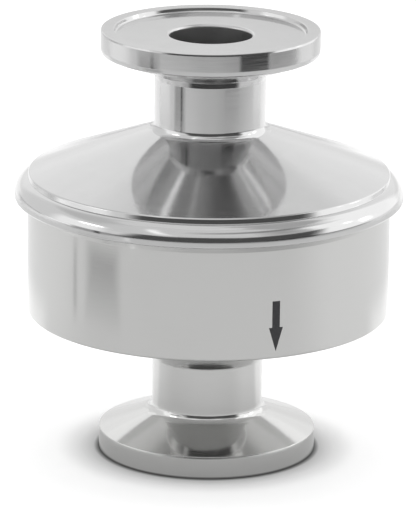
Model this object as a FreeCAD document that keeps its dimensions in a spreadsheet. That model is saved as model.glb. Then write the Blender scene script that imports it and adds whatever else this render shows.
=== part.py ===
import FreeCAD, Part
import math
import os
import re
import Sketcher

# A thermostatic steam trap for a half-inch clean-steam line, in millimetres.
# Z runs up the flow axis: the outlet clamp face is z = 0 and steam enters at the top.
# The body is two screwed halves with a clamp ferrule welded to each. Inside, a sealed
# capsule on a four-armed support pushes a ball-ended head down onto a screwed seat.

doc = FreeCAD.newDocument("SteamTrap")

sizes = {
    # Clamp ferrules and the tube that they continue
    "ferrule_od": 25.0,
    "ferrule_rim": 2.6,
    "ferrule_slope": 20.0,
    "lip_width": 1.5,
    "recess_band": 2.0,
    "recess_depth": 0.55,
    "tube_od": 12.7,
    "tube_bore": 9.4,
    "outlet_length": 10.6,
    "inlet_length": 10.3,
    "neck_round": 1.1,
    # Lower half: the cup
    "outlet_stub": 1.8,
    "cup_side": 13.3,
    "floor_slope": 16.3,
    "hub_wall": 3.2,
    "chamber_gap": 1.6,
    "ledge_width": 1.8,
    "thread_wall": 1.75,
    # Upper half: the cover with its bead
    "inlet_stub": 1.1,
    "bead_overhang": 1.5,
    "bead_height": 2.6,
    "bead_slope": 18.0,
    "bead_round": 2.2,
    "bead_land": 0.1,
    "cover_groove": 0.35,
    "cover_slope": 20.5,
    "cover_wall": 2.6,
    "shoulder_width": 2.0,
    "spigot_length": 5.0,
    "thread_gap": 0.1,
    # Gasket between the halves
    "gasket_thickness": 1.0,
    "gasket_gap": 0.1,
    # Screwed seat and its washer
    "seat_thread": 10.0,
    "seat_thread_gap": 0.05,
    "seat_shank": 2.8,
    "seat_relief": 0.2,
    "seat_shoulder": 1.4,
    "hex_margin": 0.1,
    "seat_hex_height": 1.6,
    "seat_nose_wall": 1.0,
    "seat_nose_height": 0.8,
    "orifice": 3.2,
    "orifice_chamfer": 1.0,
    "seat_outlet": 6.4,
    "seat_outlet_depth": 1.6,
    "washer_thickness": 0.5,
    # Four-armed support under the capsule
    "hub_hole_gap": 0.1,
    "hub_rim": 1.0,
    "hub_thickness": 1.5,
    "hub_seat_gap": 0.4,
    "arm_slope": 3.3,
    "arm_width": 5.0,
    "arm_lip": 1.3,
    "arm_wall": 1.4,
    "arm_root": 0.7,
    # Capsule shells, diaphragm and what is inside
    "capsule_od": 28.0,
    "capsule_gap": 0.2,
    "capsule_sheet": 0.6,
    "capsule_flange": 1.8,
    "dish_gap": 0.3,
    "dish_run": 1.6,
    "diaphragm_thickness": 0.4,
    "ripple_inset": 0.8,
    "ripple_margin": 1.4,
    "ripple_height": 0.45,
    "vent_hole": 2.4,
    "vent_circle": 14.0,
    "stop_od": 9.0,
    "stop_bore": 4.0,
    "stop_gap": 0.1,
    "stop_height": 0.9,
    "fill_hole": 2.4,
    "fill_gap": 0.04,
    "fill_lip": 1.0,
    "fill_head_height": 0.5,
    # Valve head and its stem
    "ball_radius": 3.0,
    "head_crown": 0.5,
    "head_gap": 0.25,
    "stem_od": 2.5,
    "guide_gap": 0.05,
    "stem_spigot": 2.0,
    "spigot_gap": 0.04,
    "stem_spigot_depth": 1.4,
    "disc_thickness": 0.6,
    "flange_od": 6.8,
    "thrust_od": 7.2,
    # Travel of the head
    "stroke": 1.0,
    "closed_gap": 0.05,
    # Spring that holds the capsule down
    "spring_sheet": 0.5,
    "spring_ring_od": 16.4,
    "spring_ring_bore": 9.0,
    "spring_arm_width": 5.0,
    "spring_end_gap": 0.3,
    "spring_end": 1.6,
}

COUNT_ARMS = 4
COUNT_SPRING_ARMS = 3
COUNT_VENTS = 6
COUNT_RIPPLES = 2
COUNT_FLATS = 6

# A sketch's corners start on this ring, beside the axis, before their formulas place them
LOOSE_MIDDLE = FreeCAD.Vector(30, 30, 0)
LOOSE_RADIUS = 20

sheet = doc.addObject("Spreadsheet::Sheet", "Sizes")
for row, (size_name, size_value) in enumerate(sizes.items(), start=1):
    sheet.set(f"A{row}", size_name)
    sheet.set(f"B{row}", str(size_value))
    sheet.setAlias(f"B{row}", size_name)
doc.recompute()


def linked(formula):
    """Turn a formula in size names into an expression on the sheet."""
    return re.sub(r"[a-z_]+", lambda w: f"Sizes.{w[0]}" if w[0] in sizes else w[0], formula)


def rise(across, angle):
    """Height gained over a distance across by a surface sloped at an angle."""
    return f"({across}) * tan(({angle}) * 1 deg)"


# Radii of the ferrule and tube, then of the body, worked outwards from the capsule
FLANGE = "ferrule_od / 2"
NECK = "tube_od / 2"
BORE = "tube_bore / 2"
CAPSULE = "capsule_od / 2"
SUPPORT_IN = f"{CAPSULE} + capsule_gap"
SUPPORT_OUT = f"{SUPPORT_IN} + arm_wall"
CHAMBER = f"{SUPPORT_OUT} + chamber_gap"
THREAD = f"{CHAMBER} + ledge_width"
CUP = f"{THREAD} + thread_wall"
BEAD = f"{CUP} + bead_overhang"
BEAD_RUN = "(bead_round * tan((45 - bead_slope / 2) * 1 deg) * cos(bead_slope * 1 deg) + bead_land)"
COVER_EDGE = f"{BEAD} - {BEAD_RUN}"
SHOULDER_IN = f"{CHAMBER} - shoulder_width"

# Radii of the seat and of what fits round it
SEAT_SHANK = "seat_thread / 2"
SEAT_HOLE = f"{SEAT_SHANK} + seat_thread_gap"
SEAT_STEP = f"{SEAT_SHANK} + seat_shoulder"
HEX_FLAT = f"({SEAT_STEP} + hex_margin)"
HEX_CORNER = f"{HEX_FLAT} / cos(30 deg)"
SEAT_RIM = "(orifice / 2 + orifice_chamfer)"
SEAT_NOSE = f"{SEAT_RIM} + seat_nose_wall"
HUB_HOLE = f"{SEAT_STEP} + hub_hole_gap"
HUB_EDGE = f"{HUB_HOLE} + hub_rim"
HUB_ROOT = f"{HUB_EDGE} + arm_root"

# Radii of the capsule and the stem
DISH_EDGE = f"{CAPSULE} - capsule_flange"
DISH_FLAT = f"{DISH_EDGE} - dish_run"
STEM = "stem_od / 2"
SPIGOT = "stem_spigot / 2"
SPIGOT_HOLE = f"{SPIGOT} + spigot_gap"
PIN = "fill_hole / 2"

# Heights along the axis, each worked out from the ones below it
FLOOR = "outlet_length + outlet_stub"
CUP_EDGE = f"{FLOOR} + {rise(f'{CUP} - {NECK}', 'floor_slope')}"
JOINT = f"{CUP_EDGE} + cup_side"
BEAD_TOP = f"{JOINT} + bead_height"
CONE_FOOT = f"{BEAD_TOP} + cover_groove"
CONE_TOP = f"{CONE_FOOT} + {rise(f'{COVER_EDGE} - {NECK}', 'cover_slope')}"
INLET_WELD = f"{CONE_TOP} + inlet_stub"
INLET_FACE = f"{INLET_WELD} + inlet_length"
COVER_LINE = f"{CONE_TOP} - cover_wall / cos(cover_slope * 1 deg)"
SHOULDER = f"{COVER_LINE} - {rise(f'{SHOULDER_IN} - {NECK}', 'cover_slope')}"
SPIGOT_END = f"{JOINT} - spigot_length"
LEDGE = f"{SPIGOT_END} - gasket_thickness"
HUB = f"{FLOOR} + hub_wall"
WASHER_TOP = f"{HUB} + washer_thickness"
SHANK_END = f"{HUB} - seat_shank"
HUB_TOP = f"{HUB} + hub_thickness"
HEX_TOP = f"{HUB_TOP} + seat_hex_height"
SEAT_TOP = f"{HEX_TOP} + seat_nose_height"
HEAD_CENTRE = f"{SEAT_TOP} - {SEAT_RIM} + ball_radius * sqrt(2) + closed_gap + stroke"
HEAD_TOP = f"{HEAD_CENTRE} + head_crown"
HEAD_HOLE = f"{HEAD_TOP} - stem_spigot_depth"
BASE_UNDER = f"{HEAD_TOP} + head_gap"
BASE_TOP = f"{BASE_UNDER} + capsule_sheet"
STEM_FLANGE = f"{BASE_TOP} + dish_gap + stroke"
PLY = f"{STEM_FLANGE} + disc_thickness"
RIM = f"{PLY} - capsule_sheet"
COVER = f"{PLY} + diaphragm_thickness"
COVER_RIM = f"{COVER} + capsule_sheet"
THRUST_TOP = f"{COVER} + disc_thickness"
STOP = f"{THRUST_TOP} + stop_gap"
DOME_UNDER = f"{STOP} + stop_height"
DOME_TOP = f"{DOME_UNDER} + capsule_sheet"
RING_TOP = f"{DOME_TOP} + spring_sheet"


def on_plane(body, name, role):
    """An empty sketch on one of the body's own origin planes."""
    sketch = body.newObject("Sketcher::SketchObject", name)
    plane = next(f for f in body.Origin.OriginFeatures if f.Role == role)
    sketch.AttachmentSupport = [(plane, "")]
    sketch.MapMode = "FlatFace"
    return sketch


def place(sketch, piece, point, across, up, guess):
    """Hold a point of the sketch at formulas across and up from its origin."""
    for kind, axis, formula, value in (("X", -2, across, guess.x), ("Y", -1, up, guess.y)):
        if formula == "0":
            sketch.addConstraint(Sketcher.Constraint("PointOnObject", piece, point, axis))
            continue
        index = sketch.addConstraint(Sketcher.Constraint(f"Distance{kind}", -1, 1, piece, point, value))
        sketch.renameConstraint(index, f"{kind.lower()}{piece}")
        sketch.setExpression(f"Constraints.{kind.lower()}{piece}", linked(formula))


def outline(body, name, corners, role="XZ_Plane"):
    """A closed sketch through corners, each (across, up) and, where rounded, its radius."""
    sketch = on_plane(body, name, role)
    count = len(corners)
    turns = [2 * math.pi * i / count for i in range(count)]
    loose = [LOOSE_MIDDLE + FreeCAD.Vector(math.cos(t), math.sin(t), 0) * LOOSE_RADIUS for t in turns]
    for i in range(count):
        sketch.addGeometry(Part.LineSegment(loose[i], loose[(i + 1) % count]), False)
    for i, corner in enumerate(corners):
        sketch.addConstraint(Sketcher.Constraint("Coincident", (i - 1) % count, 2, i, 1))
        place(sketch, i, 1, corner[0], corner[1], loose[i])
    doc.recompute()
    for i, corner in enumerate(corners):
        if len(corner) == 3:
            radius = corner[2]
            arc = sketch.GeometryCount
            sketch.fillet(i, 1, sizes[radius], True, True)
            index = sketch.addConstraint(Sketcher.Constraint("Radius", arc, sizes[radius]))
            sketch.renameConstraint(index, f"radius{i}")
            sketch.setExpression(f"Constraints.radius{i}", linked(radius))
    return sketch


def turned(name, corners):
    """A body turned about the flow axis from a section of (radius, height) corners."""
    body = doc.addObject("PartDesign::Body", name)
    section = outline(body, f"{name}_section", corners)
    turn = body.newObject("PartDesign::Revolution", f"{name}_turned")
    turn.Profile = section
    turn.ReferenceAxis = (section, ["V_Axis"])
    turn.Angle = 360
    doc.recompute()
    return body


def repeated(body, feature, copies):
    """Repeat a feature evenly round the flow axis."""
    axis = next(f for f in body.Origin.OriginFeatures if f.Role == "Z_Axis")
    pattern = body.newObject("PartDesign::PolarPattern", f"{feature.Name}_pattern")
    pattern.Originals = [feature]
    pattern.Axis = (axis, [""])
    pattern.Angle = 360
    pattern.Occurrences = copies
    body.Tip = pattern
    doc.recompute()


def cut_round(body, sketch, copies):
    """Cut a sketch through the body along the flow axis, evenly round that axis."""
    solid = body.Shape.Volume
    pocket = body.newObject("PartDesign::Pocket", f"{sketch.Name}_cut")
    pocket.Profile = sketch
    pocket.Type = "ThroughAll"
    pocket.SideType = "Symmetric"
    doc.recompute()
    repeated(body, pocket, copies)
    if body.Shape.Volume >= solid:
        raise SystemExit(f"{sketch.Name} cuts nothing")


def clamp_ferrule(name, length, face):
    """A clamp ferrule turned from bar: a lipped face, a tapered flange and a weld neck."""
    taper = f"ferrule_rim + {rise(f'{FLANGE} - {NECK}', 'ferrule_slope')}"
    depths = [
        (BORE, "recess_depth"),
        (f"{FLANGE} - lip_width - recess_band", "recess_depth"),
        (f"{FLANGE} - lip_width", "0"),
        (FLANGE, "0"),
        (FLANGE, "ferrule_rim"),
        (NECK, taper, "neck_round"),
        (NECK, length),
        (BORE, length),
    ]
    if face != "0":
        depths = [(corner[0], f"{face} - ({corner[1]})", *corner[2:]) for corner in depths]
    turned(name, depths)


def lower_body():
    """The cup: a floor that drains to the outlet, a gasket ledge and a female thread."""
    spot = f"{HUB_EDGE} + hub_seat_gap"
    hole_end = f"{SHANK_END} - seat_relief"
    turned("lower_body", [
        (BORE, "outlet_length"),
        (NECK, "outlet_length"),
        (NECK, FLOOR, "neck_round"),
        (CUP, CUP_EDGE),
        (CUP, JOINT),
        (THREAD, JOINT),
        (THREAD, LEDGE),
        (CHAMBER, LEDGE),
        (CHAMBER, f"{HUB} + {rise(f'{CHAMBER} - ({spot})', 'floor_slope')}"),
        (spot, HUB),
        (SEAT_HOLE, HUB),
        (SEAT_HOLE, hole_end),
        (BORE, hole_end),
    ])


def upper_body():
    """The cover: a cone over the chamber, a rolled bead at the joint and a male spigot."""
    turned("upper_body", [
        (BORE, INLET_WELD),
        (BORE, f"{COVER_LINE} + {rise(f'{NECK} - {BORE}', 'cover_slope')}"),
        (SHOULDER_IN, SHOULDER),
        (CHAMBER, SHOULDER),
        (CHAMBER, SPIGOT_END),
        (f"{THREAD} - thread_gap", SPIGOT_END),
        (f"{THREAD} - thread_gap", JOINT),
        (BEAD, JOINT),
        (BEAD, f"{BEAD_TOP} - {rise(BEAD_RUN, 'bead_slope')}", "bead_round"),
        (COVER_EDGE, BEAD_TOP),
        (COVER_EDGE, CONE_FOOT),
        (NECK, CONE_TOP, "neck_round"),
        (NECK, INLET_WELD),
    ])


def body_gasket():
    """Flat ring squeezed between the spigot's end and the ledge in the cup."""
    turned("body_gasket", [
        (CHAMBER, LEDGE),
        (f"{THREAD} - gasket_gap", LEDGE),
        (f"{THREAD} - gasket_gap", SPIGOT_END),
        (CHAMBER, SPIGOT_END),
    ])


def valve_seat():
    """Screwed seat: a hexagon for the spanner and a chamfered orifice for the ball."""
    outlet_end = f"{SHANK_END} + seat_outlet_depth"
    seat = turned("valve_seat", [
        ("seat_outlet / 2", SHANK_END),
        (SEAT_SHANK, SHANK_END),
        (SEAT_SHANK, WASHER_TOP),
        (SEAT_STEP, WASHER_TOP),
        (SEAT_STEP, HUB_TOP),
        (HEX_CORNER, HUB_TOP),
        (HEX_CORNER, HEX_TOP),
        (SEAT_NOSE, HEX_TOP),
        (SEAT_NOSE, SEAT_TOP),
        (SEAT_RIM, SEAT_TOP),
        ("orifice / 2", f"{SEAT_TOP} - orifice_chamfer"),
        ("orifice / 2", outlet_end),
        ("seat_outlet / 2", outlet_end),
    ])
    flat = outline(seat, "valve_seat_flat", [
        (f"-{HEX_CORNER}", HEX_FLAT),
        (HEX_CORNER, HEX_FLAT),
        (HEX_CORNER, f"{HEX_FLAT} * 2"),
        (f"-{HEX_CORNER}", f"{HEX_FLAT} * 2"),
    ], "XY_Plane")
    cut_round(seat, flat, COUNT_FLATS)


def seat_gasket():
    """Washer that seals the seat to the floor of the cup."""
    turned("seat_gasket", [
        (SEAT_HOLE, HUB),
        (SEAT_STEP, HUB),
        (SEAT_STEP, WASHER_TOP),
        (SEAT_HOLE, WASHER_TOP),
    ])


def element_support():
    """Support held down by the seat's hexagon: four arms carry and centre the capsule."""
    slope = "floor_slope + arm_slope"
    lip = f"{SUPPORT_IN} - arm_lip"
    support = turned("element_support", [
        (HUB_HOLE, HUB),
        (HUB_EDGE, HUB),
        (SUPPORT_OUT, f"{HUB} + {rise(f'{SUPPORT_OUT} - ({HUB_EDGE})', slope)}"),
        (SUPPORT_OUT, COVER_RIM),
        (SUPPORT_IN, COVER_RIM),
        (SUPPORT_IN, RIM),
        (lip, RIM),
        (lip, f"{HUB_TOP} + {rise(f'{lip} - ({HUB_ROOT})', slope)}"),
        (HUB_ROOT, HUB_TOP),
        (HUB_HOLE, HUB_TOP),
    ])
    window = outline(support, "element_support_window", [
        ("arm_width / 2", HUB_ROOT),
        (HUB_ROOT, "arm_width / 2"),
        (CHAMBER, "arm_width / 2"),
        (CHAMBER, CHAMBER),
        ("arm_width / 2", CHAMBER),
    ], "XY_Plane")
    cut_round(support, window, COUNT_ARMS)


def element_spring():
    """Sheet spring on the capsule: a ring with three arms bent up to the cover."""
    spring = turned("element_spring", [
        ("spring_ring_bore / 2", DOME_TOP),
        ("spring_ring_od / 2", DOME_TOP),
        ("spring_ring_od / 2", RING_TOP),
        ("spring_ring_bore / 2", RING_TOP),
    ])
    root = "spring_ring_od / 2 - spring_sheet"
    bend = "spring_ring_od / 2 + spring_sheet"
    tip = f"{CHAMBER} - spring_end_gap"
    heel = f"{tip} - spring_end"
    profile = outline(spring, "element_spring_profile", [
        (root, DOME_TOP),
        (bend, DOME_TOP),
        (heel, f"{SHOULDER} - spring_sheet"),
        (tip, f"{SHOULDER} - spring_sheet"),
        (tip, SHOULDER),
        (heel, SHOULDER),
        (bend, RING_TOP),
        (root, RING_TOP),
    ])
    arm = spring.newObject("PartDesign::Pad", "element_spring_arm")
    arm.Profile = profile
    arm.SideType = "Symmetric"
    arm.setExpression("Length", linked("spring_arm_width"))
    doc.recompute()
    repeated(spring, arm, COUNT_SPRING_ARMS)


def capsule_cover():
    """Pressed upper shell of the capsule, with the filling hole in its middle."""
    turned("capsule_cover", [
        (f"{DISH_EDGE} - capsule_sheet / 2", COVER),
        (CAPSULE, COVER),
        (CAPSULE, COVER_RIM),
        (DISH_EDGE, COVER_RIM),
        (DISH_FLAT, DOME_TOP),
        (PIN, DOME_TOP),
        (PIN, DOME_UNDER),
        (f"{DISH_FLAT} - capsule_sheet / 2", DOME_UNDER),
    ])


def capsule_base():
    """Pressed lower shell: it guides the stem and is vented to the chamber."""
    guide = f"{STEM} + guide_gap"
    base = turned("capsule_base", [
        (f"{DISH_EDGE} - capsule_sheet / 2", PLY),
        (CAPSULE, PLY),
        (CAPSULE, RIM),
        (DISH_EDGE, RIM),
        (DISH_FLAT, BASE_UNDER),
        (guide, BASE_UNDER),
        (guide, BASE_TOP),
        (f"{DISH_FLAT} - capsule_sheet / 2", BASE_TOP),
    ])
    vent = on_plane(base, "capsule_base_vent", "XY_Plane")
    centre = FreeCAD.Vector(sizes["vent_circle"] / 2, 0, 0)
    vent.addGeometry(Part.Circle(centre, FreeCAD.Vector(0, 0, 1), sizes["vent_hole"] / 2), False)
    place(vent, 0, 3, "vent_circle / 2", "0", centre)
    index = vent.addConstraint(Sketcher.Constraint("Diameter", 0, sizes["vent_hole"]))
    vent.renameConstraint(index, "hole")
    vent.setExpression("Constraints.hole", linked("vent_hole"))
    cut_round(base, vent, COUNT_VENTS)


def diaphragm():
    """Rippled sheet clamped at its rim: its middle moves with the stem."""
    start = "thrust_od / 2 + ripple_inset"
    pitch = f"({DISH_EDGE} - ripple_margin - ({start})) / {COUNT_RIPPLES}"
    under = [(SPIGOT_HOLE, PLY), (start, PLY)]
    for ripple in range(COUNT_RIPPLES):
        under.append((f"{start} + {pitch} * {ripple + 0.5}", f"{PLY} + ripple_height"))
        under.append((f"{start} + {pitch} * {ripple + 1}", PLY))
    under.append((CAPSULE, PLY))
    over = [(radius, f"{height} + diaphragm_thickness") for radius, height in reversed(under)]
    turned("diaphragm", under + over)


def travel_stop():
    """Ring under the dome that the thrust disc comes up against when cold."""
    turned("travel_stop", [
        ("stop_bore / 2", STOP),
        ("stop_od / 2", STOP),
        ("stop_od / 2", DOME_UNDER),
        ("stop_bore / 2", DOME_UNDER),
    ])


def fill_plug():
    """Headed pin welded into the filling hole after the capsule is charged."""
    head_top = f"{DOME_TOP} + fill_head_height"
    turned("fill_plug", [
        ("0", DOME_UNDER),
        (f"{PIN} - fill_gap", DOME_UNDER),
        (f"{PIN} - fill_gap", DOME_TOP),
        (f"{PIN} + fill_lip", DOME_TOP),
        (f"{PIN} + fill_lip", head_top),
        ("0", head_top),
    ])


def thrust_disc():
    """Disc above the diaphragm, which the stem is riveted over."""
    turned("thrust_disc", [
        (SPIGOT_HOLE, COVER),
        ("thrust_od / 2", COVER),
        ("thrust_od / 2", THRUST_TOP),
        (SPIGOT_HOLE, THRUST_TOP),
    ])


def valve_stem():
    """Stem with a flange under the diaphragm, guided by the hole in the capsule's base."""
    turned("valve_stem", [
        ("0", HEAD_HOLE),
        (SPIGOT, HEAD_HOLE),
        (SPIGOT, HEAD_TOP),
        (STEM, HEAD_TOP),
        (STEM, STEM_FLANGE),
        ("flange_od / 2", STEM_FLANGE),
        ("flange_od / 2", PLY),
        (SPIGOT, PLY),
        (SPIGOT, THRUST_TOP),
        ("0", THRUST_TOP),
    ])


def valve_head():
    """Ball with a flat top, bored for the stem."""
    ball = doc.addObject("Part::Sphere", "valve_head_ball")
    ball.setExpression("Radius", linked("ball_radius"))
    ball.setExpression("Placement.Base.z", linked(HEAD_CENTRE))
    ball.Angle1 = -90
    ball.setExpression("Angle2", linked("asin(head_crown / ball_radius)"))
    bore = doc.addObject("Part::Cylinder", "valve_head_bore")
    bore.setExpression("Radius", linked(SPIGOT_HOLE))
    bore.setExpression("Height", linked("stem_spigot_depth + spigot_gap"))
    bore.setExpression("Placement.Base.z", linked(f"{HEAD_HOLE} - spigot_gap"))
    head = doc.addObject("Part::Cut", "valve_head")
    head.Base = ball
    head.Tool = bore
    doc.recompute()


clamp_ferrule("outlet_ferrule", "outlet_length", "0")
clamp_ferrule("inlet_ferrule", "inlet_length", INLET_FACE)
lower_body()
upper_body()
body_gasket()
valve_seat()
seat_gasket()
element_support()
element_spring()
capsule_cover()
capsule_base()
diaphragm()
travel_stop()
fill_plug()
thrust_disc()
valve_stem()
valve_head()
doc.recompute()

pieces = [o for o in doc.Objects if o.TypeId in ("PartDesign::Body", "Part::Cut")]

for item in doc.Objects:
    if "Invalid" in item.State or "Error" in item.State:
        raise SystemExit(f"{item.Name} failed: {item.State}")
for item in pieces:
    if item.Shape.isNull() or not item.Shape.isValid() or len(item.Shape.Solids) != 1:
        raise SystemExit(f"{item.Name} is not one valid solid")

os.makedirs("parts", exist_ok=True)
for item in pieces:
    item.Shape.exportStep(f"parts/{item.Label}.step")
    box = item.Shape.BoundBox
    print(f"{item.Label}: {item.Shape.Volume:.1f} mm3, z {box.ZMin:.3f} to {box.ZMax:.3f}")
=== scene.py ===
import math

import bmesh
import bpy
from mathutils import Matrix, Vector


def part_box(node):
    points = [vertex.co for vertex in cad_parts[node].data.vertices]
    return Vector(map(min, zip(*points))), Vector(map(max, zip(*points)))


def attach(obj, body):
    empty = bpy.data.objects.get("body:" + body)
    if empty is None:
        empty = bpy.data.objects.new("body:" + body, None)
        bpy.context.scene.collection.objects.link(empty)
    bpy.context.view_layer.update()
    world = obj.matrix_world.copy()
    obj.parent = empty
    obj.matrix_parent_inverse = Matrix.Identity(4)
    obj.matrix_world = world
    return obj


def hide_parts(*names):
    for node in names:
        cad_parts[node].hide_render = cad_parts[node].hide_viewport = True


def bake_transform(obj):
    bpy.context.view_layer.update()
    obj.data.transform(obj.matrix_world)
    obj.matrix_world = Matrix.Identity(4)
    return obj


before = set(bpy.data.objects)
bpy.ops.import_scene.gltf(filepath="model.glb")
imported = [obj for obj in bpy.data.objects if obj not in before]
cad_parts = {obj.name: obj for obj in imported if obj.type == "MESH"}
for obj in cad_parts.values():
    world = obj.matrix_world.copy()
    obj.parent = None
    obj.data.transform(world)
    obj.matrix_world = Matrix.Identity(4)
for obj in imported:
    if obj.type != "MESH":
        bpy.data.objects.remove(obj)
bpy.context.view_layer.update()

# Outlet ferrule. A clamp ferrule of 316L stainless steel, turned from bar and ground smooth.
# Its lipped face takes a clamp gasket, its 20 degree back takes the clamp ring, and its neck
# is butt-welded to the cup and dressed flush, so the weld doesn't show.

MM = 0.001
ARC_STEP = math.radians(7)
LAND = 0.02
TOUCH = 1e-6
CREASE = math.radians(35)
# Where a thread's flank starts and ends, from the middle of its flat, as shares of the pitch
THREAD_FLANK_START = 0.07
THREAD_FLANK_END = 0.43


def section(corners):
    """Outline through (radius, height, round) corners in mm, each round an arc between two short lands.

    A fourth number is the depth of the thread cut there. The outline's points are
    (radius, height, depth).
    """
    outline = []
    for index, (radius, height, edge, *depth) in enumerate(corners):
        here = Vector((radius, height))
        if not edge:
            outline.append((radius, height, sum(depth)))
            continue
        back = (Vector(corners[index - 1][:2]) - here).normalized()
        ahead = (Vector(corners[(index + 1) % len(corners)][:2]) - here).normalized()
        half = back.angle(ahead) / 2
        reach = edge / math.tan(half)
        middle = here + (back + ahead).normalized() * edge / math.sin(half)
        start = here + back * reach - middle
        end = here + ahead * reach - middle
        steps = max(3, math.ceil((math.pi - 2 * half) / ARC_STEP))
        arc = [middle + start.slerp(end, step / steps) * edge for step in range(steps + 1)]
        for point in [here + back * (reach + LAND), *arc, here + ahead * (reach + LAND)]:
            outline.append((*point, 0))
    return outline


def add(tree, kind, inputs=None, **settings):
    """Add a node, then set its settings and its sockets, each from a value or from another node's output."""
    node = tree.nodes.new(kind)
    for name, value in settings.items():
        setattr(node, name, value)
    for socket, value in (inputs or {}).items():
        if isinstance(value, bpy.types.NodeSocket):
            tree.links.new(value, node.inputs[socket])
        else:
            node.inputs[socket].default_value = value
    return node


def lathe():
    """Node tree that turns a section, given as points in the XZ plane, about Z.

    Where the section's points carry a cut, it follows a helix of the given pitch. Anything that
    stands outside the flats is milled off to them.
    """
    tree = bpy.data.node_groups.new("lathe", "GeometryNodeTree")
    for name, kind in (("Section", "Geometry"), ("Segments", "Int"), ("Crease", "Float"), ("Pitch", "Float"),
                       ("Flats", "Int"), ("Half Across Flats", "Float"), ("Material", "Material")):
        tree.interface.new_socket(name, in_out="INPUT", socket_type=f"NodeSocket{kind}")
    tree.interface.new_socket("Turned", in_out="OUTPUT", socket_type="NodeSocketGeometry")
    given = add(tree, "NodeGroupInput").outputs
    count = add(tree, "GeometryNodeAttributeDomainSize", {"Geometry": given["Section"]}, component="MESH")
    rows = add(tree, "ShaderNodeMath", {0: count.outputs["Point Count"], 1: 1.0}, operation="ADD")
    columns = add(tree, "ShaderNodeMath", {0: given["Segments"], 1: 1.0}, operation="ADD")
    grid = add(tree, "GeometryNodeMeshGrid",
               {"Vertices X": columns.outputs[0], "Vertices Y": rows.outputs[0]})
    index = add(tree, "GeometryNodeInputIndex").outputs[0]
    share = add(tree, "ShaderNodeMath", {0: index, 1: rows.outputs[0]}, operation="DIVIDE")
    column = add(tree, "ShaderNodeMath", {0: share.outputs[0]}, operation="FLOOR")
    row = add(tree, "ShaderNodeMath", {0: index, 1: rows.outputs[0]}, operation="FLOORED_MODULO")
    point = add(tree, "ShaderNodeMath", {0: row.outputs[0], 1: count.outputs["Point Count"]},
                operation="FLOORED_MODULO")
    where = add(tree, "GeometryNodeInputPosition").outputs[0]
    held = add(tree, "GeometryNodeSampleIndex",
               {"Geometry": given["Section"], "Value": where, "Index": point.outputs[0]},
               data_type="FLOAT_VECTOR")
    depth = add(tree, "GeometryNodeInputNamedAttribute", {"Name": "cut"}, data_type="FLOAT")
    cut = add(tree, "GeometryNodeSampleIndex",
              {"Geometry": given["Section"], "Value": depth.outputs["Attribute"], "Index": point.outputs[0]},
              data_type="FLOAT")
    along = add(tree, "ShaderNodeSeparateXYZ", {"Vector": held.outputs["Value"]})
    turns = add(tree, "ShaderNodeMath", {0: column.outputs[0], 1: given["Segments"]}, operation="DIVIDE")
    climb = add(tree, "ShaderNodeMath", {0: along.outputs["Z"], 1: given["Pitch"]}, operation="DIVIDE")
    helix = add(tree, "ShaderNodeMath", {0: climb.outputs[0], 1: turns.outputs[0]}, operation="SUBTRACT")
    phase = add(tree, "ShaderNodeMath", {0: helix.outputs[0], 1: 1.0}, operation="FLOORED_MODULO")
    ridge = add(tree, "ShaderNodeMath", {0: phase.outputs[0], 1: 0.5}, operation="SUBTRACT")
    flank = add(tree, "ShaderNodeMath", {0: ridge.outputs[0]}, operation="ABSOLUTE")
    vee = add(tree, "ShaderNodeMapRange",
              {"Value": flank.outputs[0], "From Min": THREAD_FLANK_START, "From Max": THREAD_FLANK_END})
    bite = add(tree, "ShaderNodeMath", {0: cut.outputs["Value"], 1: vee.outputs[0]}, operation="MULTIPLY")
    threaded = add(tree, "ShaderNodeMath", {0: along.outputs["X"], 1: bite.outputs[0]}, operation="SUBTRACT")
    angle = add(tree, "ShaderNodeMath", {0: turns.outputs[0], 1: math.tau}, operation="MULTIPLY")
    side = add(tree, "ShaderNodeMath", {0: math.tau, 1: given["Flats"]}, operation="DIVIDE")
    corner = add(tree, "ShaderNodeMath", {0: angle.outputs[0], 1: side.outputs[0]},
                 operation="FLOORED_MODULO")
    half = add(tree, "ShaderNodeMath", {0: side.outputs[0], 1: 0.5}, operation="MULTIPLY")
    swing = add(tree, "ShaderNodeMath", {0: corner.outputs[0], 1: half.outputs[0]}, operation="SUBTRACT")
    tilt = add(tree, "ShaderNodeMath", {0: swing.outputs[0]}, operation="COSINE")
    flat = add(tree, "ShaderNodeMath", {0: given["Half Across Flats"], 1: tilt.outputs[0]},
               operation="DIVIDE")
    milled = add(tree, "ShaderNodeMath", {0: threaded.outputs[0], 1: flat.outputs[0]}, operation="MINIMUM")
    spoke = add(tree, "ShaderNodeCombineXYZ", {"X": milled.outputs[0], "Z": along.outputs["Z"]})
    turned = add(tree, "ShaderNodeVectorRotate", {"Vector": spoke.outputs[0], "Angle": angle.outputs[0]},
                 rotation_type="Z_AXIS")
    shell = add(tree, "GeometryNodeSetPosition",
                {"Geometry": grid.outputs["Mesh"], "Position": turned.outputs["Vector"]})
    closed = add(tree, "GeometryNodeMergeByDistance", {"Geometry": shell.outputs[0], "Distance": TOUCH})
    smooth = add(tree, "GeometryNodeSetShadeSmooth", {"Geometry": closed.outputs[0]}, domain="FACE")
    bend = add(tree, "GeometryNodeInputMeshEdgeAngle").outputs["Unsigned Angle"]
    sharp = add(tree, "FunctionNodeCompare", {"A": bend, "B": given["Crease"]}, operation="GREATER_THAN")
    edged = add(tree, "GeometryNodeSetShadeSmooth",
                {"Geometry": smooth.outputs[0], "Selection": sharp.outputs[0], "Shade Smooth": False},
                domain="EDGE")
    real = add(tree, "GeometryNodeRealizeInstances", {"Geometry": edged.outputs[0]})
    finished = add(tree, "GeometryNodeSetMaterial",
                   {"Geometry": real.outputs[0], "Material": given["Material"]})
    add(tree, "NodeGroupOutput", {"Turned": finished.outputs[0]})
    return tree


LATHE = lathe()


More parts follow.
